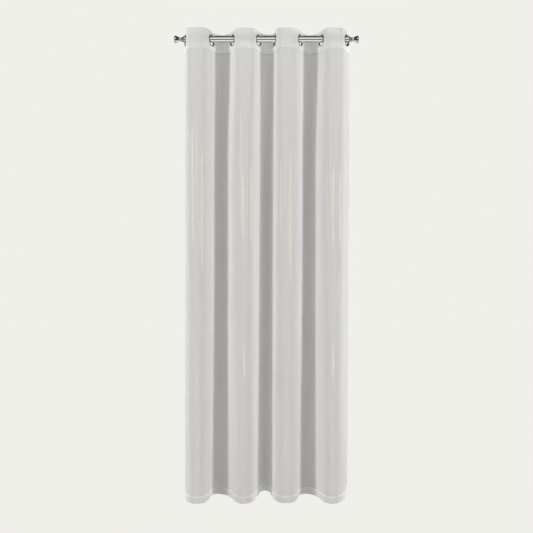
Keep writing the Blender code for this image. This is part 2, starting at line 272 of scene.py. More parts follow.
def run_lengths():
    """Each run's length at the waist."""
    steps = np.linspace(0.0, 1.0, 41)
    lengths = []
    for run in range(len(RUN_KINDS)):
        place, _ = line_at(WAIST_Z, np.full(len(steps), run), steps)
        lengths.append(np.linalg.norm(np.diff(place, axis=0), axis=1).sum())
    return np.array(lengths)


LENGTHS = run_lengths()
STARTS = np.concatenate([[0.0], np.cumsum(LENGTHS)])
WIDTH = STARTS[-1]


def cloth_u(run, t):
    """How far along the cloth a place is, from the left edge."""
    return STARTS[run] + LENGTHS[run] * t


def fold_u(name):
    run, t = RUN_OF_FOLD[name]
    return cloth_u(run, t)


def smooth(x):
    x = np.clip(x, 0.0, 1.0)
    return x * x * (3.0 - 2.0 * x)


def window(z, top, bottom, soft):
    """1 between two heights, fading out over soft at each end."""
    return smooth((top - z) / soft + 0.5) * smooth((z - bottom) / soft + 0.5)


def relief(u, z):
    """How far the cloth stands out of its smooth fold, towards the room side."""
    total = np.zeros_like(u)
    for crease in CREASES:
        past = np.clip((crease.top - z) / (crease.top - crease.bottom), 0.0, 1.0)
        middle = fold_u(crease.fold) + crease.start + (crease.end - crease.start) * past
        across = np.exp(-((u - middle) / crease.width) ** 2)
        total += crease.height * across * window(z, crease.top, crease.bottom, 0.25)
    for lean in LEANS:
        down = smooth((lean.top - z) / (lean.top - PANEL_BOTTOM))
        total += lean.height * down * np.exp(-((u - fold_u(lean.fold)) / lean.width) ** 2)
    below_heading = math.exp(-max(HEADING_BOTTOM - z, 0.0) / HEADING_RIPPLE_REACH)
    above_hem = math.exp(-max(z - PANEL_BOTTOM, 0.0) / HEM_RIPPLE_REACH)
    for ripples, strength in ((HEADING_RIPPLES, below_heading), (HEM_RIPPLES, above_hem)):
        for ripple in ripples:
            total += ripple.height * strength * np.sin(2.0 * math.pi * u / ripple.length + ripple.phase)
    return total


# Meshes

def add_object(name, mesh, material):
    mesh.materials.append(material)
    item = bpy.data.objects.new(name, mesh)
    bpy.context.scene.collection.objects.link(item)
    return item


def grid_faces(rows, columns):
    """Corner numbers of a grid's faces, seen from the room side."""
    corner = (np.arange(rows - 1)[:, None] * columns + np.arange(columns - 1)[None, :]).ravel()
    return np.stack([corner, corner + columns, corner + columns + 1, corner + 1], axis=1)


def mesh_of(name, points, faces):
    mesh = bpy.data.meshes.new(name)
    mesh.from_pydata([tuple(p) for p in points], [], [tuple(f) for f in faces])
    mesh.update()
    mesh.shade_smooth()
    return mesh


def set_values(mesh, name, values):
    attribute = mesh.attributes.new(name, "FLOAT", "POINT")
    attribute.data.foreach_set("value", np.asarray(values, np.float32))


def set_places(mesh, u, v):
    """Keeps each point's place on the flat cloth, for the weave."""
    attribute = mesh.attributes.new("cloth_place", "FLOAT_VECTOR", "POINT")
    flat = np.stack([u, v, np.zeros_like(u)], axis=1)
    attribute.data.foreach_set("vector", flat.astype(np.float32).ravel())


# Voile panel

# The layers value is 1 for single cloth, more than 1 for a hem's face and TURNED for what lies behind it
TURNED = 0.0
SIDE_FACE_LAYERS = 1.3
SIDE_TUCK_LAYERS = 1.7
BOTTOM_FACE_LAYERS = 2.0
BOTTOM_TUCK_LAYERS = 3.0
Column = namedtuple("Column", "run t offset layers cut")


def side_hem_columns(side):
    """Columns of a side hem, from the tucked-in raw edge round to the front face's last hem column.
    Distances are from the finished side edge."""
    wall = [
        (SIDE_HEM - TUCK, 1), (SIDE_HEM - TUCK / 2, 1), (SIDE_HEM - 0.0004, 1), (SIDE_HEM, 1.5),
        (SIDE_HEM - 0.0004, 2), (SIDE_HEM * 0.7, 2), (SIDE_HEM * 0.4, 2), (SIDE_HEM * 0.15, 2), (0.0004, 2),
        (0.0, 1), (0.0004, 0), (SIDE_HEM * 0.15, 0), (SIDE_HEM * 0.3, 0), (SIDE_HEM - TUCK - 0.0004, 0),
        (SIDE_HEM - TUCK + 0.0004, 0), (SIDE_HEM - TUCK / 2, 0), (SIDE_HEM - 0.0004, 0),
        (SIDE_HEM + 0.0004, 0),
    ]
    columns = []
    cut = -(SIDE_HEM + TUCK)
    last = wall[0][0]
    run = 0 if side == "left" else len(RUN_KINDS) - 1
    for distance, layer in wall:
        cut += abs(distance - last)
        last = distance
        share = distance / LENGTHS[run]
        layers = 1.0
        if layer > 0:
            layers = TURNED
        elif distance < SIDE_HEM:
            layers = SIDE_TUCK_LAYERS if distance > SIDE_HEM - TUCK else SIDE_FACE_LAYERS
        t = share if side == "left" else 1.0 - share
        columns.append(Column(run, t, layer * SIDE_LAYER, layers, cut))
    return columns


def panel_columns():
    left = side_hem_columns("left")
    columns = list(left)
    for run, kind in enumerate(RUN_KINDS):
        steps = ARC_COLUMNS if kind == "arc" else FLAT_COLUMNS
        for step in range(steps + 1 if run == len(RUN_KINDS) - 1 else steps):
            t = step / steps
            u = cloth_u(run, t)
            if SIDE_HEM + 0.001 < u < WIDTH - SIDE_HEM - 0.001:
                columns.append(Column(run, t, 0.0, 1.0, u))
    for column in reversed(side_hem_columns("right")):
        columns.append(column._replace(cut=WIDTH - column.cut))
    return columns


Row = namedtuple("Row", "z offset layers cut")


def panel_rows():
    top = HEADING_BOTTOM + SEAM_OVERLAP
    hem_top = PANEL_BOTTOM + BOTTOM_HEM
    heights = list(np.arange(top, top - 0.10, -FINE_ROW_STEP))
    heights += list(np.arange(heights[-1] - ROW_STEP, hem_top + 0.13, -ROW_STEP))
    heights += list(np.arange(heights[-1] - FINE_ROW_STEP * 1.5, hem_top + 0.003, -FINE_ROW_STEP * 1.5))
    rows = [Row(z, 0.0, 1.0, top - z) for z in heights]
    tuck = BOTTOM_TUCK_LAYERS
    turns = [
        (BOTTOM_HEM + 0.0004, 0, 1.0), (BOTTOM_HEM - 0.0004, 0, tuck), (BOTTOM_HEM - TUCK / 2, 0, tuck),
        (BOTTOM_HEM - TUCK + 0.0004, 0, tuck), (BOTTOM_HEM - TUCK - 0.0004, 0, BOTTOM_FACE_LAYERS),
    ]
    turns += [(above, 0, BOTTOM_FACE_LAYERS) for above in (0.024, 0.016, 0.008, 0.0025, 0.0006)]
    turns += [(0.0, 1, TURNED)]
    turns += [(above, 2, TURNED) for above in (0.0006, 0.0025, 0.008, 0.016, 0.024)]
    turns += [
        (BOTTOM_HEM - TUCK, 2, TURNED), (BOTTOM_HEM - 0.0006, 2, TURNED), (BOTTOM_HEM, 1.5, TURNED),
        (BOTTOM_HEM - 0.0006, 1, TURNED), (BOTTOM_HEM - TUCK / 2, 1, TURNED), (BOTTOM_HEM - TUCK, 1, TURNED),
    ]
    last = heights[-1]
    cut = rows[-1].cut
    for above, layer, layers in turns:
        z = PANEL_BOTTOM + above
        cut += abs(z - last)
        last = z
        rows.append(Row(z, layer * BOTTOM_LAYER, layers, cut))
    return rows


def painted_glint_at(x, y, z):
    """How strongly the painted glint highlight shows at each place of a row."""
    total = np.zeros_like(x)
    for painted_glint in PAINTED_GLINTS:
        across = np.exp(-((x - painted_glint.x) / (painted_glint.width * PAINTED_GLINT_SPREAD)) ** 2)
        total += painted_glint.strength * across * window(z, painted_glint.top, painted_glint.bottom, 0.10)
    return np.where(y < PAINTED_GLINT_FRONT, np.clip(total, 0.0, 1.0), 0.0)


def add_panel(material):
    columns = panel_columns()
    rows = panel_rows()
    run = np.array([c.run for c in columns])
    t = np.array([c.t for c in columns])
    u = cloth_u(run, t)
    column_offset = np.array([c.offset for c in columns])
    column_layers = np.array([c.layers for c in columns])
    column_cut = np.array([c.cut for c in columns])
    points, layers, painted_glints, cut_u, cut_v = [], [], [], [], []
    for row in rows:
        place, normal = line_at(row.z, run, t)
        out = relief(u, row.z) - column_offset - row.offset
        flat = place + normal * out[:, None]
        points.append(np.column_stack([flat, np.full(len(flat), row.z)]))
        hidden = (column_layers == TURNED) | (row.layers == TURNED)
        layers.append(np.where(hidden, TURNED, np.maximum(column_layers, row.layers)))
        # Strength of the painted glint highlights, for the cloth's colour
        painted_glints.append(painted_glint_at(flat[:, 0], flat[:, 1], row.z))
        cut_u.append(column_cut)
        cut_v.append(np.full(len(flat), row.cut))
    mesh = mesh_of("voile_cloth", np.concatenate(points), grid_faces(len(rows), len(columns)))
    set_values(mesh, "layers", np.concatenate(layers))
    set_values(mesh, "painted_glint", np.concatenate(painted_glints))
    set_places(mesh, np.concatenate(cut_u), np.concatenate(cut_v))
    panel = add_object("voile_cloth", mesh, material)
    cut = (column_cut[-1] - column_cut[0], rows[-1].cut)
    return panel, cut


# Heading

HEADING_WAVE = 0.00022


def heading_relief(run, t, z):
    """Shallow waves of the stiff heading between the eyelets, none where a ring sits."""
    u = cloth_u(run, t)
    between = np.where(np.array([RUN_KINDS[r] == "arc" for r in run]), np.sin(math.pi * t) ** 2, 0.0)
    wave = np.sin(2.0 * math.pi * u / 0.027 + 7.0 * z)
    wave = wave + 0.7 * np.sin(2.0 * math.pi * u / 0.043 - 11.0 * z + 1.3)
    return HEADING_WAVE * wave * between


def heading_strip_points(run, steps, heights):
    run_numbers = np.full(steps + 1, run)
    t = np.linspace(0.0, 1.0, steps + 1)
    place, normal = line_at(HEADING_BOTTOM, run_numbers, t)
    rows = []
    for z in heights:
        flat = place + normal * heading_relief(run_numbers, t, z)[:, None]
        rows.append(np.column_stack([flat, np.full(steps + 1, z)]))
    return np.concatenate(rows)


def add_heading_patch(bm, heights, start, end):
    """The flat part of the heading between two line ends, with a round hole for the eyelet's sleeve."""
    middle = (start + end) / 2.0
    along = (end - start) / np.linalg.norm(end - start)
    half = np.linalg.norm(end - start) / 2.0
    across = np.linspace(-half, half, FLAT_COLUMNS * 2 + 1)
    border = [(s, heights[0]) for s in across]
    border += [(half, z) for z in heights[1:]]
    border += [(s, heights[-1]) for s in across[::-1][1:]]
    border += [(-half, z) for z in heights[::-1][1:-1]]
    rings = []
    for ring in range(HOLE_RINGS + 1):
        share = (ring / HOLE_RINGS) ** 0.8
        points = []
        for s, z in border:
            angle = math.atan2(z - RING_CENTRE_Z, s)
            hole_s = HOLE_RADIUS * math.cos(angle)
            hole_z = RING_CENTRE_Z + HOLE_RADIUS * math.sin(angle)
            here_s = s + (hole_s - s) * share
            here_z = z + (hole_z - z) * share
            flat = middle + along * here_s
            points.append(bm.verts.new((flat[0], flat[1], here_z)))
        rings.append(points)
    for outer, inner in zip(rings, rings[1:]):
        for i in range(len(border)):
            j = (i + 1) % len(border)
            bm.faces.new((outer[i], outer[j], inner[j], inner[i]))


def add_heading(material):
    heights = np.linspace(HEADING_TOP, HEADING_BOTTOM, HEADING_ROWS)
    bm = bmesh.new()
    ends = runs_at(HEADING_BOTTOM)
    for run, kind in enumerate(RUN_KINDS):
        if kind == "flat":
            add_heading_patch(bm, heights, ends[run][0], ends[run][3])
            continue
        points = heading_strip_points(run, ARC_COLUMNS, heights)
        verts = [bm.verts.new(p) for p in points]
        for face in grid_faces(HEADING_ROWS, ARC_COLUMNS + 1):
            bm.faces.new([verts[i] for i in face])
    bmesh.ops.remove_doubles(bm, verts=bm.verts, dist=0.00005)
    bmesh.ops.recalc_face_normals(bm, faces=bm.faces)
    mesh = bpy.data.meshes.new("heading_cloth")
    bm.to_mesh(mesh)
    bm.free()
    mesh.shade_smooth()
    points = np.array([v.co for v in mesh.vertices])
    set_places(mesh, heading_cloth_u(points), HEADING_TOP - points[:, 2])
    set_values(mesh, "layers", np.full(len(points), 2.0))
    set_values(mesh, "painted_glint", np.zeros(len(points)))
    heading = add_object("heading_cloth", mesh, material)
    thick = heading.modifiers.new("thickness", "SOLIDIFY")
    thick.thickness = HEADING_THICKNESS
    thick.offset = 0.0
    thick.use_even_offset = True
    rounded = heading.modifiers.new("rounded_edges", "BEVEL")
    rounded.width = 0.0007
    rounded.segments = 2
    rounded.limit_method = "ANGLE"
    rounded.angle_limit = math.radians(50)
    return heading


def heading_cloth_u(points):
    """How far along the cloth each heading point is, from the nearest place on the line."""
    runs = np.repeat(np.arange(len(RUN_KINDS)), 25)
    t = np.tile(np.linspace(0.0, 1.0, 25), len(RUN_KINDS))
    place, _ = line_at(HEADING_BOTTOM, runs, t)
    u = cloth_u(runs, t)
    found = []
    for point in points:
        apart = (place[:, 0] - point[0]) ** 2 + (place[:, 1] - point[1]) ** 2
        near = np.argsort(apart)[:2]
        weight = 1.0 / np.maximum(np.sqrt(apart[near]), 1e-6)
        found.append((u[near] * weight).sum() / weight.sum())
    return np.array(found)


# Stitches

def stitches(name, path, normals, material):
    """A row of short arched stitches that lie on the cloth along a path, each a small tapered tube."""
    path = np.asarray(path)
    lengths = np.concatenate([[0.0], np.cumsum(np.linalg.norm(np.diff(path, axis=0), axis=1))])
    centres = np.arange(STITCH_PITCH / 2, lengths[-1] - STITCH_LENGTH / 2, STITCH_PITCH)
    shares = np.linspace(-0.5, 0.5, STITCH_SECTIONS)
    arch = np.array([-0.4, 0.8, 0.8, -0.4]) * THREAD_RADIUS
    radii = np.array([0.55, 1.0, 1.0, 0.55]) * THREAD_RADIUS
    points, faces = [], []
    for centre in centres:
        first = len(points)
        for share, lift, radius in zip(shares, arch, radii):
            at = centre + share * STITCH_LENGTH
            middle = np.array([np.interp(at, lengths, path[:, k]) for k in range(3)])
            ahead = np.array([np.interp(at + 0.0005, lengths, path[:, k]) for k in range(3)])
            up = np.array([np.interp(at, lengths, normals[:, k]) for k in range(3)])
            up /= np.linalg.norm(up)
            along = ahead - middle
            along /= max(np.linalg.norm(along), 1e-9)
            side = np.cross(along, up)
            for k in range(STITCH_SIDES):
                angle = 2.0 * math.pi * (k + 0.5) / STITCH_SIDES
                point = middle + up * (lift + radius * math.sin(angle)) + side * radius * math.cos(angle)
                points.append(point)
        for section in range(STITCH_SECTIONS - 1):
            for k in range(STITCH_SIDES):
                a = first + section * STITCH_SIDES + k
                b = first + section * STITCH_SIDES + (k + 1) % STITCH_SIDES
                faces.append((a, b, b + STITCH_SIDES, a + STITCH_SIDES))
        last = first + (STITCH_SECTIONS - 1) * STITCH_SIDES
        faces.append(tuple(first + k for k in range(STITCH_SIDES)))
        faces.append(tuple(last + k for k in reversed(range(STITCH_SIDES))))
    mesh = mesh_of(name, points, faces)
    bm = bmesh.new()
    bm.from_mesh(mesh)
    bmesh.ops.recalc_face_normals(bm, faces=bm.faces)
    bm.to_mesh(mesh)
    bm.free()
    return add_object(name, mesh, material)


def across_path(z, out, relief_at):
    """A path from edge to edge at one height, standing out from the cloth's middle, with its normals."""
    runs = np.repeat(np.arange(len(RUN_KINDS)), PATH_STEPS)
    t = np.tile(np.linspace(0.0, 1.0, PATH_STEPS, endpoint=False), len(RUN_KINDS))
    place, normal = line_at(z, runs, t)
    flat = place + normal * (relief_at(runs, t, z) + out)[:, None]
    path = np.column_stack([flat, np.full(len(flat), z)])
    side = 1.0 if out > 0 else -1.0
    return path, np.column_stack([normal * side, np.zeros(len(flat))])


def down_path(side, distance, out):
    """A path down the cloth at a distance from a side edge."""
    run = 0 if side == "left" else len(RUN_KINDS) - 1
    share = distance / LENGTHS[run]
    t = share if side == "left" else 1.0 - share
    path, normals = [], []
    for z in np.arange(HEADING_BOTTOM - 0.004, PANEL_BOTTOM + 0.002, -0.01):
        place, normal = line_at(z, np.array([run]), np.array([t]))
        u = cloth_u(np.array([run]), np.array([t]))
        flat = place + normal * (relief(u, z) + out)
        path.append((flat[0, 0], flat[0, 1], z))
        facing = normal[0] * (1.0 if out > 0 else -1.0)
        normals.append((facing[0], facing[1], 0.0))
    return np.array(path), np.array(normals)


def add_stitching(material):
    rows = []
    seam = HEADING_BOTTOM + 0.0035
    half = HEADING_THICKNESS / 2.0
    for name, out in (("front", half), ("back", -half)):
        path, normals = across_path(seam, out, heading_relief)
        rows.append(stitches(f"heading_stitches_{name}", path, normals, material))
    hem_seam = PANEL_BOTTOM + BOTTOM_HEM - 0.002

    def panel_relief(run, t, z):
        return relief(cloth_u(run, t), z)

    for name, out in (("front", 0.0001), ("back", -2 * BOTTOM_LAYER - 0.0001)):
        path, normals = across_path(hem_seam, out, panel_relief)
        rows.append(stitches(f"hem_stitches_{name}", path, normals, material))
    for side in ("left", "right"):
        for name, out in (("front", 0.0001), ("back", -2 * SIDE_LAYER - 0.0001)):
            path, normals = down_path(side, SIDE_HEM - 0.002, out)
            rows.append(stitches(f"{side}_side_stitches_{name}", path, normals, material))
    return rows


# Eyelets, rod and finials

Turned = namedtuple("Turned", "along radius")


SHARP_ANGLE = 35


def turned_mesh(name, profile, segments, closed):
    """Turns a profile about the local X axis. An open profile ends on the axis."""
    along = np.array([p.along for p in profile])
    radius = np.array([p.radius for p in profile])
    angles = 2.0 * math.pi * np.arange(segments) / segments
    points = np.stack([
        np.repeat(along, segments),
        np.outer(radius, np.cos(angles)).ravel(),
        np.outer(radius, np.sin(angles)).ravel(),
    ], axis=1)
    count = len(profile)
    faces = []
    for i in range(count if closed else count - 1):
        j = (i + 1) % count
        for k in range(segments):
            n = (k + 1) % segments
            faces.append((i * segments + k, i * segments + n, j * segments + n, j * segments + k))
    if not closed:
        faces.append(tuple(range(segments)))
        faces.append(tuple((count - 1) * segments + k for k in reversed(range(segments))))
    mesh = bpy.data.meshes.new(name)
    mesh.from_pydata([tuple(p) for p in points], [], faces)
    bm = bmesh.new()
    bm.from_mesh(mesh)
    bmesh.ops.recalc_face_normals(bm, faces=bm.faces)
    bm.to_mesh(mesh)
    bm.free()
    mesh.shade_smooth()
    mesh.set_sharp_from_angle(angle=math.radians(SHARP_ANGLE))
    return mesh


def half_round(start_along, rise, outer, inner, steps):
    """Points over a domed lip, from its outer foot to its inner foot."""
    middle = (outer + inner) / 2.0
    half = (outer - inner) / 2.0
    points = []
    for step in range(steps + 1):
        angle = math.pi * step / steps
        points.append(Turned(start_along + rise * math.sin(angle) ** 0.8, middle + half * math.cos(angle)))
    return points


def front_ring_profile():
    """Front half: a domed lip, and the sleeve that goes through the cloth and is rolled over at its end."""
    end = -(SEAT + LIP_HEIGHT * 0.7)
    profile = [Turned(SEAT, RING_OUTER - 0.0004)]
    profile += half_round(SEAT + 0.0003, LIP_HEIGHT - 0.0003, RING_OUTER, RING_INNER, 18)
    profile += [
        Turned(end, RING_INNER), Turned(end - 0.0003, RING_INNER + 0.0003),
        Turned(end - 0.0003, RING_INNER + SLEEVE_WALL - 0.0003), Turned(end, RING_INNER + SLEEVE_WALL),
        Turned(SEAT, RING_INNER + SLEEVE_WALL),
    ]
    return profile


def back_ring_profile():
    """Back half: a domed ring that snaps over the sleeve."""
    inner = RING_INNER + SLEEVE_WALL + 0.0003
    profile = half_round(SEAT + 0.0003, LIP_HEIGHT - 0.0003, RING_OUTER, inner, 14)
    profile = [Turned(SEAT, RING_OUTER - 0.0004)] + profile + [Turned(SEAT, inner)]
    return [Turned(-p.along, p.radius) for p in profile]


def eyelet_matrix(fold):
    """The local X axis is the ring's axis, and points out of the cloth's room side."""
    along = direction(fold.heading.turn)
    axis = Vector((along[1], -along[0], 0.0))
    sideways = Vector((along[0], along[1], 0.0))
    facing = Matrix((axis, sideways, Vector((0.0, 0.0, 1.0)))).transposed().to_4x4()
    return Matrix.Translation((fold.heading.x, fold.heading.y, RING_CENTRE_Z)) @ facing


def add_eyelets(chrome):
    front = turned_mesh("ring_front", front_ring_profile(), RING_SEGMENTS, closed=True)
    back = turned_mesh("ring_back", back_ring_profile(), RING_SEGMENTS, closed=True)
    front.materials.append(chrome)
    back.materials.append(chrome)
    rings = []
    for fold in FOLDS:
        if fold.kind != "flank":
            continue
        for side, mesh in (("front", front), ("back", back)):
            ring = bpy.data.objects.new(f"{fold.name.replace('eyelet', 'ring')}_{side}", mesh)
            bpy.context.scene.collection.objects.link(ring)
            ring.matrix_world = eyelet_matrix(fold)
            rings.append((ring, f"{fold.name}_{side}"))
    return rings


ROD_WALL = 0.0012
GAP = 0.0003
FINIAL_SPIGOT = 0.022
SPIGOT_CHAMFER = 0.001
FINIAL_OUTLINE = [
    Turned(0.0003, 0.0161), Turned(0.0008, 0.0165), Turned(0.0035, 0.0156), Turned(0.0080, 0.0128),
    Turned(0.0130, 0.0106), Turned(0.0190, 0.0096), Turned(0.0250, 0.0101), Turned(0.0310, 0.0121),
    Turned(0.0365, 0.0149), Turned(0.0415, 0.0175), Turned(0.0455, 0.0189), Turned(0.0490, 0.0191),
    Turned(0.0520, 0.0168), Turned(0.0538, 0.0095), Turned(0.0545, 0.0020),
]


def smooth_outline(points, between):
    """More points on a smooth curve through an outline's own points."""
    data = np.array(points)
    padded = np.concatenate([data[:1], data, data[-1:]])
    result = []
    for i in range(len(data) - 1):
        p0, p1, p2, p3 = padded[i:i + 4]
        for step in range(between):
            t = step / between
            value = 0.5 * (2 * p1 + (p2 - p0) * t + (2 * p0 - 5 * p1 + 4 * p2 - p3) * t * t
                           + (3 * p1 - p0 - 3 * p2 + p3) * t ** 3)
            result.append(Turned(*value))
    result.append(points[-1])
    return result


def add_rod(chrome):
    bore = ROD_RADIUS - ROD_WALL
    chamfer = 0.0004
    half = ROD_HALF_LENGTH
    profile = [
        Turned(-half, bore + chamfer), Turned(-half, ROD_RADIUS - chamfer),
        Turned(-half + chamfer, ROD_RADIUS), Turned(half - chamfer, ROD_RADIUS),
        Turned(half, ROD_RADIUS - chamfer), Turned(half, bore + chamfer),
        Turned(half - chamfer, bore), Turned(-half + chamfer, bore),
    ]
    return add_object("rod_tube", turned_mesh("rod_tube", profile, ROD_SEGMENTS, closed=True), chrome)


def add_finial(name, side, chrome):
    """side is 1 at the right end and -1 at the left end."""
    spigot = ROD_RADIUS - ROD_WALL - GAP
    profile = [
        Turned(-FINIAL_SPIGOT, spigot - SPIGOT_CHAMFER), Turned(-FINIAL_SPIGOT + SPIGOT_CHAMFER, spigot),
        Turned(GAP, spigot),
    ]
    profile += smooth_outline(FINIAL_OUTLINE, 4)
    mesh = turned_mesh(name, profile, ROD_SEGMENTS, closed=False)
    finial = add_object(name, mesh, chrome)
    facing = Matrix.Rotation(0.0 if side > 0 else math.pi, 4, "Z")
    finial.matrix_world = Matrix.Translation((side * ROD_HALF_LENGTH, 0.0, 0.0)) @ facing
    return finial


# Materials

class Nodes:
    """Short calls for adding nodes to one material's or world's tree."""

    def __init__(self, tree):
        self.tree = tree

    def add(self, kind, **settings):
        node = self.tree.nodes.new(kind)
        for key, value in settings.items():
            setattr(node, key, value)
        return node

    def feed(self, socket, value):
        if isinstance(value, bpy.types.NodeSocket):
            self.tree.links.new(value, socket)
        else:
            socket.default_value = value

    def math(self, operation, *values):
        node = self.add("ShaderNodeMath", operation=operation)
        for socket, value in zip(node.inputs, values):
            self.feed(socket, value)
        return node.outputs[0]

    def spread(self, value, low, high, to_low, to_high):
        node = self.add("ShaderNodeMapRange")
        names = ("Value", "From Min", "From Max", "To Min", "To Max")
        for name, given in zip(names, (value, low, high, to_low, to_high)):
            self.feed(node.inputs[name], given)
        return node.outputs[0]

    def mix(self, share, first, second):
        node = self.add("ShaderNodeMix", data_type="RGBA")
        self.feed(node.inputs[0], share)
        self.feed(node.inputs[6], first)
        self.feed(node.inputs[7], second)
        return node.outputs[2]

    def scaled(self, vector, scale):
        node = self.add("ShaderNodeVectorMath", operation="MULTIPLY")
        self.feed(node.inputs[0], vector)
        node.inputs[1].default_value = scale
        return node.outputs[0]

    def noise(self, vector, detail=2.0):
        node = self.add("ShaderNodeTexNoise")
        self.feed(node.inputs["Vector"], vector)
        node.inputs["Scale"].default_value = 1.0
        node.inputs["Detail"].default_value = detail
        return node.outputs["Fac"]

    def attribute(self, name, output):
        node = self.add("ShaderNodeAttribute", attribute_name=name)
        return node.outputs[output]


def new_material(name):
    material = bpy.data.materials.new(name)
    material.use_nodes = True
    material.node_tree.nodes.clear()
    return material, Nodes(material.node_tree)


THREAD_PITCH = 0.00045    # warp and weft threads of the voile
COVER_SINGLE = 0.89       # how much of the view one layer of voile covers
COVER_HEM = 0.95
COVER_TURNED = 0.22
TRANSLUCENT_SINGLE = 0.30
TRANSLUCENT_HEM = 0.52
TRANSLUCENT_HEADING = 0.54
SINGLE_COLOUR = (0.660, 0.655, 0.653, 1.0)
HEM_COLOUR = (0.852, 0.846, 0.842, 1.0)
HEADING_COLOUR = (0.888, 0.890, 0.882, 1.0)
# The warm colour of the painted glint highlights
PAINTED_GLINT_COLOUR = (1.000, 0.890, 0.700, 1.0)


Look = namedtuple("Look", "colour cover translucent")


def cloth_material(name, single, double):
    """Plain-weave voile. The number of layers at a place makes it paler and denser, and painted glint
    highlights are mixed into its colour.
    """
    material, nodes = new_material(name)
    place = nodes.attribute("cloth_place", "Vector")
    layers = nodes.attribute("layers", "Fac")
    painted_glint = nodes.attribute("painted_glint", "Fac")
    doubled = nodes.spread(layers, 1.0, 2.0, 0.0, 1.0)
    tripled = nodes.spread(layers, 2.0, 3.0, 0.0, 1.0)

    split = nodes.add("ShaderNodeSeparateXYZ")
    nodes.feed(split.inputs[0], place)
    turns = 2.0 * math.pi / THREAD_PITCH
    warp = nodes.math("SINE", nodes.math("MULTIPLY", split.outputs["X"], turns))
    weft = nodes.math("SINE", nodes.math("MULTIPLY", split.outputs["Y"], turns))
    weave = nodes.math("MULTIPLY", warp, weft)
    warp_slubs = nodes.noise(nodes.scaled(place, (700.0, 7.0, 0.0)))
    weft_slubs = nodes.noise(nodes.scaled(place, (9.0, 600.0, 0.0)))
    streaks = nodes.noise(nodes.scaled(place, (160.0, 2.2, 0.0)), 3.0)
    clouds = nodes.noise(nodes.scaled(place, (9.0, 5.0, 0.0)))

    base = nodes.mix(doubled, single.colour, double.colour)
    lighter = nodes.mix(1.0, base, (1.0, 1.0, 1.0, 1.0))
    base = nodes.mix(nodes.math("MULTIPLY", tripled, 0.35), base, lighter)
    yarn = nodes.math("ADD", nodes.math("MULTIPLY", nodes.math("SUBTRACT", warp_slubs, 0.5), 0.10),
                      nodes.math("MULTIPLY", nodes.math("SUBTRACT", weft_slubs, 0.5), 0.07))
    yarn = nodes.math("ADD", yarn, nodes.math("MULTIPLY", nodes.math("SUBTRACT", streaks, 0.5), 0.15))
    yarn = nodes.math("ADD", yarn, nodes.math("MULTIPLY", nodes.math("SUBTRACT", clouds, 0.5), 0.05))
    yarn = nodes.math("ADD", yarn, nodes.math("MULTIPLY", weave, 0.02))
    tone = nodes.add("ShaderNodeHueSaturation")
    nodes.feed(tone.inputs["Value"], nodes.math("ADD", yarn, 1.0))
    nodes.feed(tone.inputs["Color"], base)
    # Painted glint highlights: the colour is mixed towards a warm highlight colour in broken dashes, with
    # lower roughness there
    dashes = nodes.noise(nodes.scaled(place, (330.0, 48.0, 0.0)))
    painted_sparkle = nodes.spread(dashes, 0.38, 0.58, 0.15, 1.0)
    painted_shine = nodes.math("MULTIPLY", painted_glint, painted_sparkle)
    colour = nodes.mix(painted_shine, tone.outputs[0], PAINTED_GLINT_COLOUR)

    height = nodes.math("ADD", nodes.math("MULTIPLY", weave, 0.5), nodes.math("MULTIPLY", warp_slubs, 1.2))
    height = nodes.math("ADD", height, nodes.math("MULTIPLY", weft_slubs, 0.8))
    bump = nodes.add("ShaderNodeBump")
    bump.inputs["Strength"].default_value = 0.35
    bump.inputs["Distance"].default_value = 0.0001
    nodes.feed(bump.inputs["Height"], height)

    surface = nodes.add("ShaderNodeBsdfPrincipled")
    nodes.feed(surface.inputs["Base Color"], colour)
    nodes.feed(surface.inputs["Normal"], bump.outputs[0])
    nodes.feed(surface.inputs["Roughness"], nodes.spread(painted_shine, 0.0, 1.0, 0.85, 0.45))
    surface.inputs["Specular IOR Level"].default_value = 0.25
    surface.inputs["Sheen Weight"].default_value = 0.05
    surface.inputs["Sheen Roughness"].default_value = 0.45
    through = nodes.add("ShaderNodeBsdfTranslucent")
    nodes.feed(through.inputs["Color"], colour)
    nodes.feed(through.inputs["Normal"], bump.outputs[0])
    cloth = nodes.add("ShaderNodeMixShader")
    through_share = nodes.spread(doubled, 0.0, 1.0, single.translucent, double.translucent)
    less = nodes.math("MULTIPLY", tripled, 0.12)
    nodes.feed(cloth.inputs[0], nodes.math("SUBTRACT", through_share, less))
    nodes.feed(cloth.inputs[1], surface.outputs[0])
    nodes.feed(cloth.inputs[2], through.outputs[0])
    open_share = nodes.add("ShaderNodeBsdfTransparent")
    cover = nodes.math("ADD", nodes.spread(layers, TURNED, 1.0, COVER_TURNED, single.cover),
                       nodes.spread(doubled, 0.0, 1.0, 0.0, double.cover - single.cover))
    cover = nodes.math("ADD", cover, nodes.math("MULTIPLY", nodes.math("SUBTRACT", warp_slubs, 0.5), 0.10))
    cover = nodes.math("MINIMUM", cover, 1.0)
    whole = nodes.add("ShaderNodeMixShader")
    nodes.feed(whole.inputs[0], cover)
    nodes.feed(whole.inputs[1], open_share.outputs[0])
    nodes.feed(whole.inputs[2], cloth.outputs[0])
    output = nodes.add("ShaderNodeOutputMaterial")
    nodes.feed(output.inputs["Surface"], whole.outputs[0])
    return material


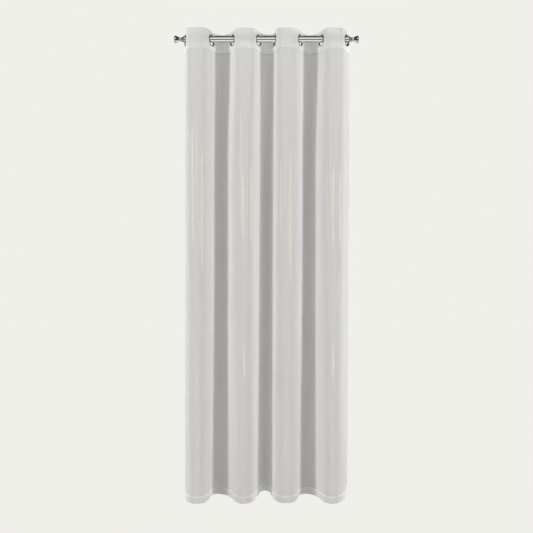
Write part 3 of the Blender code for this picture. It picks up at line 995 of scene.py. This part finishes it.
def thread_material():
    """Spun sewing thread, with a fine twist."""
    material, nodes = new_material("sewing_thread")
    place = nodes.add("ShaderNodeTexCoord").outputs["Object"]
    fibres = nodes.noise(nodes.scaled(place, (3000.0, 3000.0, 3000.0)))
    colour = nodes.mix(fibres, (0.84, 0.83, 0.81, 1.0), (0.96, 0.95, 0.93, 1.0))
    bump = nodes.add("ShaderNodeBump")
    bump.inputs["Strength"].default_value = 0.4
    bump.inputs["Distance"].default_value = 0.00005
    nodes.feed(bump.inputs["Height"], fibres)
    surface = nodes.add("ShaderNodeBsdfPrincipled")
    nodes.feed(surface.inputs["Base Color"], colour)
    nodes.feed(surface.inputs["Normal"], bump.outputs[0])
    surface.inputs["Roughness"].default_value = 0.7
    surface.inputs["Sheen Weight"].default_value = 0.2
    output = nodes.add("ShaderNodeOutputMaterial")
    nodes.feed(output.inputs["Surface"], surface.outputs[0])
    return material


def chrome_material(name, light, dark, roughness_low, roughness_high):
    """Polished plating with faint hairline marks and slightly duller patches."""
    material, nodes = new_material(name)
    place = nodes.add("ShaderNodeTexCoord").outputs["Object"]
    hairlines = nodes.noise(nodes.scaled(place, (40.0, 1800.0, 1800.0)), 3.0)
    patches = nodes.noise(nodes.scaled(place, (60.0, 60.0, 60.0)), 3.0)
    colour = nodes.mix(patches, light, dark)
    bump = nodes.add("ShaderNodeBump")
    bump.inputs["Strength"].default_value = 0.05
    bump.inputs["Distance"].default_value = 0.00002
    nodes.feed(bump.inputs["Height"], hairlines)
    surface = nodes.add("ShaderNodeBsdfPrincipled")
    nodes.feed(surface.inputs["Base Color"], colour)
    nodes.feed(surface.inputs["Normal"], bump.outputs[0])
    nodes.feed(surface.inputs["Roughness"], nodes.spread(patches, 0.3, 0.7, roughness_low, roughness_high))
    surface.inputs["Metallic"].default_value = 1.0
    output = nodes.add("ShaderNodeOutputMaterial")
    nodes.feed(output.inputs["Surface"], surface.outputs[0])
    return material


# Studio

PALE = (0.8714, 0.8632, 0.8228, 1.0)     # the pale ground that the camera sees
LIGHT_COLOUR = (1.0, 0.995, 0.98)
AMBIENT = 0.11
FLOOR_CLEARANCE = 0.012
FLOOR_RADIUS = 7.0
FLOOR_SHARE = 0.012        # how much of the floor's own shading shows

# What polished metal sees round the rod: degrees up from the room's horizon, over the top to the wall side
Stop = namedtuple("Stop", "degrees light")
REFLECTED = [
    Stop(-180.0, 0.50), Stop(-110.0, 0.50), Stop(-75.0, 1.00), Stop(-38.0, 1.00), Stop(-30.0, 0.04),
    Stop(-5.0, 0.04), Stop(3.0, 1.00), Stop(34.0, 1.00), Stop(52.0, 0.45), Stop(70.0, 0.15),
    Stop(84.0, 0.02), Stop(150.0, 0.02), Stop(160.0, 0.80), Stop(180.0, 0.50),
]
SIDE_DARK = 0.10          # how much of that is left where the metal faces sideways
SIDE_FAR = 0.60           # and where it faces sideways the most


def set_world():
    """A pale ground for the camera, an even light for the cloth, and soft panels for the metal to mirror."""
    world = bpy.data.worlds.new("studio")
    bpy.context.scene.world = world
    world.use_nodes = True
    world.node_tree.nodes.clear()
    nodes = Nodes(world.node_tree)
    split = nodes.add("ShaderNodeSeparateXYZ")
    around = nodes.add("ShaderNodeTexCoord").outputs["Generated"]
    nodes.feed(split.inputs[0], around)
    angle = nodes.math("ARCTAN2", split.outputs["Z"], nodes.math("MULTIPLY", split.outputs["Y"], -1.0))
    ramp = nodes.add("ShaderNodeValToRGB")
    elements = ramp.color_ramp.elements
    nodes.feed(ramp.inputs[0], nodes.spread(angle, -math.pi, math.pi, 0.0, 1.0))
    while len(elements) < len(REFLECTED):
        elements.new(0.5)
    for element, stop in zip(elements, REFLECTED):
        element.position = stop.degrees / 360.0 + 0.5
        element.color = (stop.light, stop.light, stop.light * 0.98, 1.0)
    path = nodes.add("ShaderNodeLightPath")
    even = (AMBIENT, AMBIENT, AMBIENT * 0.985, 1.0)
    level = nodes.add("ShaderNodeVectorMath", operation="LENGTH")
    nodes.feed(level.inputs[0], nodes.scaled(around, (1.0, 1.0, 0.0)))
    level = nodes.math("MAXIMUM", level.outputs["Value"], 0.001)
    sideways = nodes.math("DIVIDE", nodes.math("ABSOLUTE", split.outputs["X"]), level)
    side_light = nodes.math("MAXIMUM", nodes.spread(sideways, 0.28, 0.58, 1.0, SIDE_DARK),
                            nodes.spread(sideways, 0.78, 0.96, 0.0, SIDE_FAR))
    mirrored = nodes.add("ShaderNodeVectorMath", operation="SCALE")
    nodes.feed(mirrored.inputs[0], ramp.outputs[0])
    nodes.feed(mirrored.inputs["Scale"], side_light)
    colour = nodes.mix(path.outputs["Is Glossy Ray"], even, mirrored.outputs[0])
    colour = nodes.mix(path.outputs["Is Camera Ray"], colour, PALE)
    background = nodes.add("ShaderNodeBackground")
    nodes.feed(background.inputs["Color"], colour)
    output = nodes.add("ShaderNodeOutputWorld")
    nodes.feed(output.inputs["Surface"], background.outputs[0])


def add_floor():
    """A wide pale floor that melts into the ground behind, with only a breath of shadow."""
    bm = bmesh.new()
    bmesh.ops.create_circle(bm, cap_ends=True, radius=FLOOR_RADIUS, segments=64)
    mesh = bpy.data.meshes.new("floor")
    bm.to_mesh(mesh)
    bm.free()
    material, nodes = new_material("floor")
    path = nodes.add("ShaderNodeLightPath")
    diffuse = nodes.add("ShaderNodeBsdfDiffuse")
    diffuse.inputs["Color"].default_value = (0.82, 0.81, 0.79, 1.0)
    glow = nodes.add("ShaderNodeEmission")
    glow.inputs["Color"].default_value = PALE
    place = nodes.add("ShaderNodeVectorMath", operation="LENGTH")
    nodes.feed(place.inputs[0], nodes.add("ShaderNodeTexCoord").outputs["Object"])
    share = nodes.spread(place.outputs["Value"], 0.5, FLOOR_RADIUS - 0.5, 1.0 - FLOOR_SHARE, 1.0)
    mix = nodes.add("ShaderNodeMixShader")
    nodes.feed(mix.inputs[0], nodes.math("MULTIPLY", path.outputs["Is Camera Ray"], share))
    nodes.feed(mix.inputs[1], diffuse.outputs[0])
    nodes.feed(mix.inputs[2], glow.outputs[0])
    output = nodes.add("ShaderNodeOutputMaterial")
    nodes.feed(output.inputs["Surface"], mix.outputs[0])
    floor = add_object("floor", mesh, material)
    floor.location.z = PANEL_BOTTOM - FLOOR_CLEARANCE
    floor.visible_glossy = False


def add_light(name, place, aim, size, power):
    data = bpy.data.lights.new(name, "AREA")
    data.shape = "RECTANGLE"
    data.size = size[0]
    data.size_y = size[1]
    data.energy = power
    data.color = LIGHT_COLOUR
    light = bpy.data.objects.new(name, data)
    bpy.context.scene.collection.objects.link(light)
    light.location = place
    light.rotation_euler = (Vector(aim) - Vector(place)).to_track_quat("-Z", "Y").to_euler()
    light.visible_camera = False
    light.visible_glossy = False


# Tall soft lights: how far each stands to the right of the line from the camera, in degrees, and its power
SideLight = namedtuple("SideLight", "name angle width power")
SIDE_LIGHTS = [
    SideLight("main_left", -58.5, 1.10, 396.0), SideLight("main_right", 57.0, 1.00, 390.0),
    SideLight("rear_left", -113.0, 1.40, 208.0), SideLight("rear_right", 113.0, 1.40, 188.0),
]
TOP_BACK_POWER = 2.3
SIDE_DISTANCE = 7.2
SIDE_HEIGHT = -0.70
SIDE_TALL = 3.4


def add_lights():
    aim = (0.0, 0.0, -1.10)
    for side in SIDE_LIGHTS:
        angle = math.radians(side.angle)
        place = (SIDE_DISTANCE * math.sin(angle), -SIDE_DISTANCE * math.cos(angle), SIDE_HEIGHT)
        add_light(side.name, place, aim, (side.width, SIDE_TALL), side.power)
    add_light("top_back", (0.0, 0.60, 0.12), (0.0, 0.03, -0.05), (1.20, 0.15), TOP_BACK_POWER)


CAMERA_DISTANCE = 3.0
CAMERA_HEIGHT = -1.066
CAMERA_TILT = 0.91        # degrees down
LENS = 37.89
CAMERA_SHIFT = -0.033     # the curtain sits high in the photograph


def add_camera():
    data = bpy.data.cameras.new("camera")
    data.lens = LENS
    data.sensor_width = 36.0
    data.shift_y = CAMERA_SHIFT
    data.clip_end = 100.0
    camera = bpy.data.objects.new("camera", data)
    bpy.context.scene.collection.objects.link(camera)
    camera.location = (0.0, -CAMERA_DISTANCE, CAMERA_HEIGHT)
    camera.rotation_euler = (math.radians(90.0 - CAMERA_TILT), 0.0, 0.0)
    bpy.context.scene.camera = camera


def dress(piece, slot, *nodes):
    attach(piece, "root")
    if nodes:
        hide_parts(*nodes)


def main():
    heading_look = Look(HEADING_COLOUR, COVER_HEM, TRANSLUCENT_HEADING)
    voile = cloth_material("voile", Look(SINGLE_COLOUR, COVER_SINGLE, TRANSLUCENT_SINGLE),
                           Look(HEM_COLOUR, COVER_HEM, TRANSLUCENT_HEM))
    stiff = cloth_material("stiffened_voile", heading_look, heading_look)
    thread = thread_material()
    ring_chrome = chrome_material("eyelet_chrome", (0.80, 0.78, 0.755, 1.0), (0.72, 0.70, 0.675, 1.0),
                                  0.07, 0.14)
    rod_chrome = chrome_material("rod_chrome", (0.84, 0.84, 0.83, 1.0), (0.77, 0.77, 0.76, 1.0), 0.06, 0.12)

    panel, cut = add_panel(voile)
    dress(panel, "voile", "voile_panel")
    heading = add_heading(stiff)
    dress(heading, "stiffened_voile", "heading")
    rows = add_stitching(thread)
    for row in rows:
        dress(row, "voile")
    for ring, node in add_eyelets(ring_chrome):
        dress(ring, "eyelet_chrome", node)
    dress(add_rod(rod_chrome), "rod_chrome", "rod")
    dress(add_finial("left_finial", -1, rod_chrome), "rod_chrome", "finial_left")
    dress(add_finial("right_finial", 1, rod_chrome), "rod_chrome", "finial_right")

    set_world()
    add_floor()
    add_lights()
    add_camera()
    bpy.context.scene.view_settings.view_transform = "Standard"


main()
